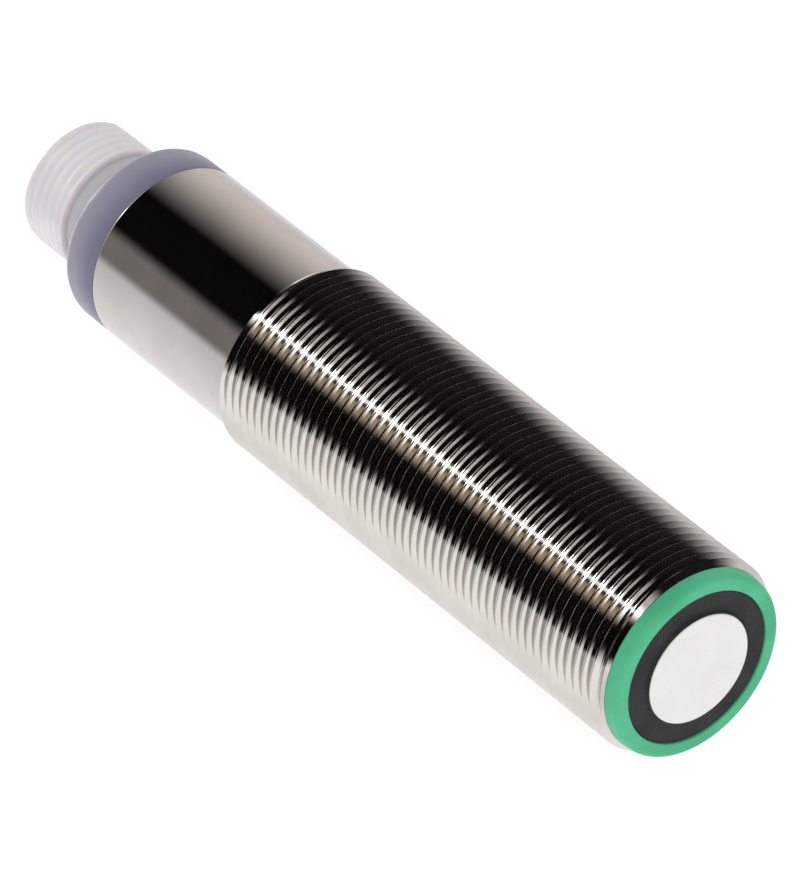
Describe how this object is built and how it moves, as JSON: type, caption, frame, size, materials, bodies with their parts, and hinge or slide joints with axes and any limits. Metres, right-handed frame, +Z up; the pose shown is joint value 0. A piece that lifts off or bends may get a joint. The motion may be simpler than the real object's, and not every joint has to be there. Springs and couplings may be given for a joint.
{
  "type": "cylindrical ultrasonic sensor",
  "caption": "Cylindrical ultrasonic sensor: plated threaded sleeve, green rim round a white sounding disc, translucent light ring and a round threaded connector plug.",
  "frame": {"origin": "on the sensor's axis, at the middle of the long mounting thread", "axes": "+X along the axis, the way the sound leaves the face; +Z up, through the coding key of the plug; +Y to the left seen from behind"},
  "size_m": [0.0843, 0.018, 0.018],
  "materials": {
    "plated_brass": "bright nickel plating over turned brass",
    "green_plastic": "satin moulded",
    "seal_rubber": "matt",
    "white_epoxy": "matt, ground flat",
    "ceramic": "fired ceramic with silvered faces",
    "black_foam": "fine closed-cell foam",
    "board_laminate": "lacquered laminate",
    "clear_film": "amber film",
    "blue_grey_plastic": "translucent, satin",
    "milky_plastic": "translucent, milky",
    "ferrite": "ground ferrite",
    "copper_wire": "enamelled wire",
    "tin_can": "drawn can",
    "yellow_mould": "moulded",
    "gold_plating": "gold plating over turned brass",
    "lead_insulation": "wire insulation",
    "light_package": "clear lens on a white package",
    "chip_ceramic": "sintered with tinned ends",
    "chip_mould": "moulded epoxy with tinned leads"
  },
  "bodies": {
    "root": {"backing_foam": "black_foam", "cap_seal": "seal_rubber", "chip_part_1": "chip_ceramic", "chip_part_2": "chip_ceramic", "chip_part_3": "chip_ceramic", "chip_part_4": "chip_ceramic", "chip_part_5": "chip_ceramic", "chip_part_6": "chip_ceramic", "clock_crystal": "tin_can", "contact_pin_1": "gold_plating", "contact_pin_2": "gold_plating", "contact_pin_3": "gold_plating", "contact_pin_4": "gold_plating", "contact_pin_5": "gold_plating", "decoupling_ring": "black_foam", "drive_transistor": "chip_mould", "echo_amplifier": "chip_mould", "front_cap": "green_plastic", "insulating_film": "clear_film", "light_ring": "blue_grey_plastic", "main_board": "board_laminate", "matching_disc": "white_epoxy", "output_driver": "chip_mould", "piezo_disc": "ceramic", "plug_board": "board_laminate", "plug_body": "milky_plastic", "processor": "chip_mould", "rear_seal": "seal_rubber", "status_light_1": "light_package", "status_light_2": "light_package", "status_light_3": "light_package", "status_light_4": "light_package", "storage_capacitor": "yellow_mould", "surge_diode": "chip_mould", "temperature_probe": "chip_mould", "threaded_sleeve": "plated_brass", "transducer_lead_1": "lead_insulation", "transducer_lead_2": "lead_insulation", "transformer_core": "ferrite", "transformer_winding": "copper_wire", "voltage_regulator": "chip_mould"}
  },
  "joints": []
}
